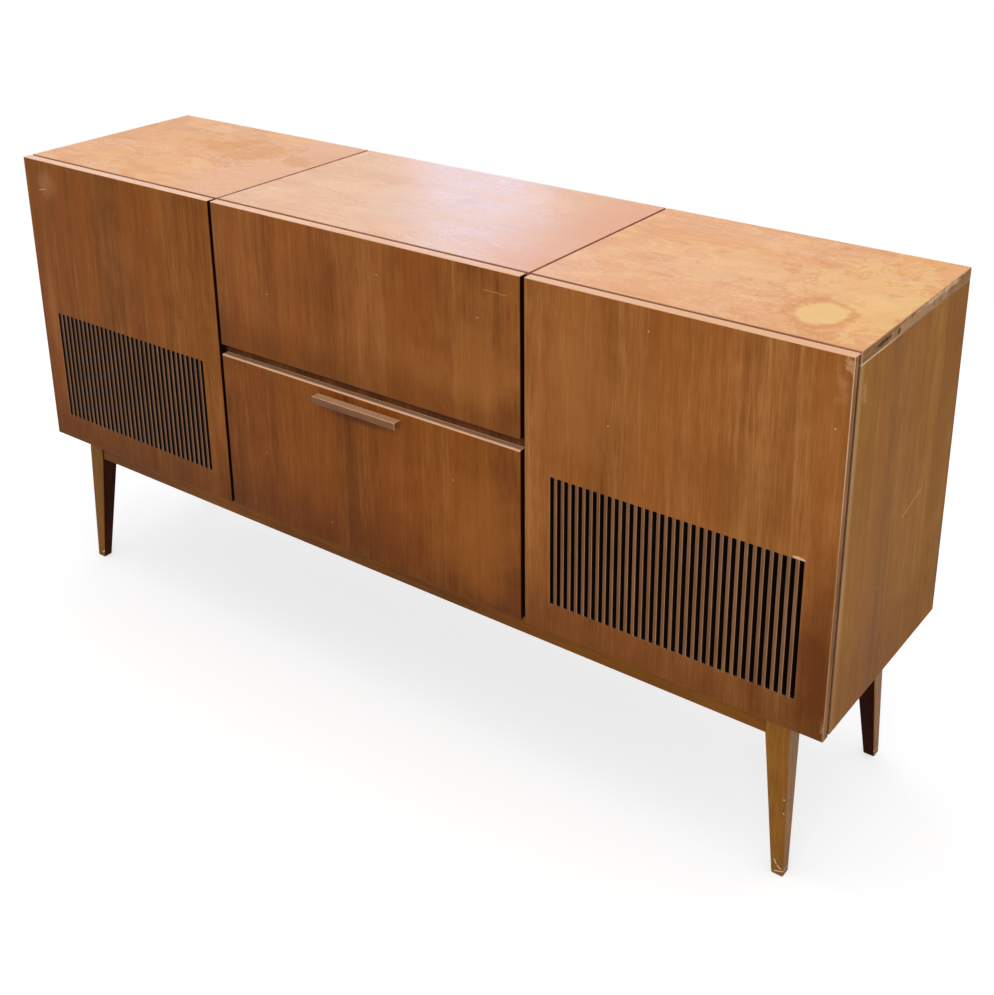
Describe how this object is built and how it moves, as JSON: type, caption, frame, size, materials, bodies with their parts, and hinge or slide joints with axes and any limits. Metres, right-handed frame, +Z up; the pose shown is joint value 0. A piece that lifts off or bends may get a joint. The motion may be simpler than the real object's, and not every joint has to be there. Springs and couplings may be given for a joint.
{
  "type": "record player cabinet",
  "caption": "Low wooden record player cabinet on tapered legs, with rear-hinged tops, slotted speaker fronts, a recessed drop flap with a wooden pull, and a player and radio inside",
  "frame": {"origin": "centre of the bounding box in X and Y, at the floor in Z", "axes": "+X along the cabinet to the right seen from the front, +Y from the front to the back, +Z up"},
  "size_m": [1.756, 0.4532, 0.898],
  "materials": {
    "front_veneer": "satin varnished veneer, upright grain, worn bright arrises",
    "top_veneer": "faded satin veneer, grain along the cabinet, worn edges",
    "side_veneer": "satin veneer, upright grain",
    "leg_wood": "satin stained beech",
    "rail_wood": "satin stained beech",
    "pull_wood": "satin, worn bright on its edge",
    "carcass_board": "plain unvarnished board",
    "hardboard": "bare hardboard, matt",
    "black_packing": "matt black stained strips",
    "baffle_black": "matt black painted board",
    "speaker_cloth": "fine dark weave",
    "basket_metal": "hammered enamel",
    "cone_paper": "pressed paper",
    "brass_fittings": "dull lacquered",
    "stay_steel": "nickelled",
    "catch_plastic": "moulded",
    "deck_enamel": "stoved enamel",
    "platter_metal": "turned",
    "mat_rubber": "ribbed, matt",
    "arm_metal": "polished",
    "cream_plastic": "moulded, glossy",
    "face_plate": "satin bronze lacquer",
    "dial_clear": "polished",
    "chassis_steel": "plated",
    "pointer_red": "glossy"
  },
  "bodies": {
    "cabinet": {"left_side_panel": "side_veneer", "right_side_panel": "side_veneer", "bottom_panel": "carcass_board", "partitions": "carcass_board", "record_dividers": "carcass_board", "record_shelf": "carcass_board", "deck_board": "carcass_board", "well_floors": "carcass_board", "front_top_rail": "carcass_board", "rear_top_rail": "carcass_board", "back_panel": "hardboard", "packing_strips": "black_packing", "left_front_panel": "front_veneer", "right_front_panel": "front_veneer", "upper_front_panel": "front_veneer", "front_rail": "rail_wood", "rear_rail": "rail_wood", "cross_rails": "rail_wood", "front_left_leg": "leg_wood", "front_right_leg": "leg_wood", "back_left_leg": "leg_wood", "back_right_leg": "leg_wood", "baffles": "baffle_black", "dial_glass": "dial_clear", "speaker_cloths": "speaker_cloth", "woofer_frames": "basket_metal", "woofer_cones": "cone_paper", "tweeters": "basket_metal", "fixed_hinge_leaves": "brass_fittings", "stay_studs": "stay_steel", "flap_catch": "catch_plastic", "deck_plate": "deck_enamel", "deck_motor": "basket_metal", "radio_fascia": "face_plate", "radio_chassis": "chassis_steel"},
    "left_top": {"left_lid": "top_veneer", "left_lid_fittings": "brass_fittings"},
    "left_top_stay": {"left_lid_stay": "stay_steel"},
    "centre_top": {"centre_lid": "top_veneer", "centre_lid_fittings": "brass_fittings"},
    "centre_top_stay": {"centre_lid_stay": "stay_steel"},
    "right_top": {"right_lid": "top_veneer", "right_lid_fittings": "brass_fittings"},
    "right_top_stay": {"right_lid_stay": "stay_steel"},
    "record_flap": {"flap_door": "front_veneer", "flap_pull": "pull_wood", "flap_fittings": "brass_fittings"},
    "record_flap_stay": {"flap_stay": "stay_steel"},
    "turntable": {"platter": "platter_metal", "platter_mat": "mat_rubber"},
    "arm_column": {"tonearm_pivot": "arm_metal"},
    "pickup_arm": {"tonearm": "arm_metal"},
    "lever": {"speed_lever": "cream_plastic"},
    "pointer": {"dial_pointer": "pointer_red"},
    "tuning": {"tuning_knob": "cream_plastic"},
    "volume": {"volume_knob": "cream_plastic"},
    "tone": {"tone_knob": "cream_plastic"},
    "button_one": {"first_button": "cream_plastic"},
    "button_two": {"second_button": "cream_plastic"},
    "button_three": {"third_button": "cream_plastic"}
  },
  "joints": [
    {"name": "left_top_hinge", "type": "hinge", "parent": "cabinet", "child": "left_top", "pos_m": [-0.61487, 0.2236, 0.8788], "axis": [-1, 0, 0], "range_deg": [0, 85]},
    {"name": "left_stay_pivot", "type": "hinge", "parent": "left_top", "child": "left_top_stay", "pos_m": [-0.85675, 0.1656, 0.8698], "axis": [1, 0, 0], "range_deg": [0, 42.5]},
    {"name": "centre_top_hinge", "type": "hinge", "parent": "cabinet", "child": "centre_top", "pos_m": [0, 0.2236, 0.8788], "axis": [-1, 0, 0], "range_deg": [0, 85]},
    {"name": "centre_stay_pivot", "type": "hinge", "parent": "centre_top", "child": "centre_top_stay", "pos_m": [0.3315, 0.1656, 0.8698], "axis": [1, 0, 0], "range_deg": [0, 42.5]},
    {"name": "right_top_hinge", "type": "hinge", "parent": "cabinet", "child": "right_top", "pos_m": [0.61487, 0.2236, 0.8788], "axis": [-1, 0, 0], "range_deg": [0, 85]},
    {"name": "right_stay_pivot", "type": "hinge", "parent": "right_top", "child": "right_top_stay", "pos_m": [0.85675, 0.1656, 0.8698], "axis": [1, 0, 0], "range_deg": [0, 42.5]},
    {"name": "flap_hinge", "type": "hinge", "parent": "cabinet", "child": "record_flap", "pos_m": [0, -0.1901, 0.2893], "axis": [1, 0, 0], "range_deg": [0, 90]},
    {"name": "flap_stay_pivot", "type": "hinge", "parent": "record_flap", "child": "record_flap_stay", "pos_m": [-0.3315, -0.1801, 0.4393], "axis": [-1, 0, 0], "range_deg": [0, 45]},
    {"name": "platter_spin", "type": "hinge", "parent": "cabinet", "child": "turntable", "pos_m": [-0.175, 0.0214, 0.761], "axis": [0, 0, 1], "continuous": true},
    {"name": "arm_swing", "type": "hinge", "parent": "cabinet", "child": "arm_column", "pos_m": [0.01, 0.1264, 0.759], "axis": [0, 0, -1], "range_deg": [0, 46]},
    {"name": "arm_lift", "type": "hinge", "parent": "arm_column", "child": "pickup_arm", "pos_m": [0.01, 0.1264, 0.792], "axis": [-1, 0, 0], "range_deg": [0, 10]},
    {"name": "speed_lever_turn", "type": "hinge", "parent": "cabinet", "child": "lever", "pos_m": [-0.03, -0.1046, 0.759], "axis": [0, 0, 1], "range_deg": [0, 60]},
    {"name": "pointer_slide", "type": "slide", "parent": "cabinet", "child": "pointer", "axis": [1, 0, 0], "range_m": [-0.066, 0.066]},
    {"name": "tuning_turn", "type": "hinge", "parent": "cabinet", "child": "tuning", "pos_m": [0.2745, -0.0986, 0.757], "axis": [0, 0, -1], "range_deg": [-540, 540]},
    {"name": "volume_turn", "type": "hinge", "parent": "cabinet", "child": "volume", "pos_m": [0.1305, -0.0986, 0.757], "axis": [0, 0, -1], "range_deg": [0, 300]},
    {"name": "tone_turn", "type": "hinge", "parent": "cabinet", "child": "tone", "pos_m": [0.2025, -0.0986, 0.757], "axis": [0, 0, -1], "range_deg": [-140, 140]},
    {"name": "button_one_press", "type": "slide", "parent": "cabinet", "child": "button_one", "axis": [0, 0, -1], "range_m": [0, 0.004], "stiffness_N_per_m": 150, "springref_m": -0.001},
    {"name": "button_two_press", "type": "slide", "parent": "cabinet", "child": "button_two", "axis": [0, 0, -1], "range_m": [0, 0.004], "stiffness_N_per_m": 150, "springref_m": -0.001},
    {"name": "button_three_press", "type": "slide", "parent": "cabinet", "child": "button_three", "axis": [0, 0, -1], "range_m": [0, 0.004], "stiffness_N_per_m": 150, "springref_m": -0.001}
  ],
  "couplings": [
    {"joint": "left_stay_pivot", "follows": "left_top_hinge", "ratio": 0.5},
    {"joint": "centre_stay_pivot", "follows": "centre_top_hinge", "ratio": 0.5},
    {"joint": "right_stay_pivot", "follows": "right_top_hinge", "ratio": 0.5},
    {"joint": "flap_stay_pivot", "follows": "flap_hinge", "ratio": 0.5},
    {"joint": "pointer_slide", "follows": "tuning_turn", "m_per_rad": 0.007}
  ]
}
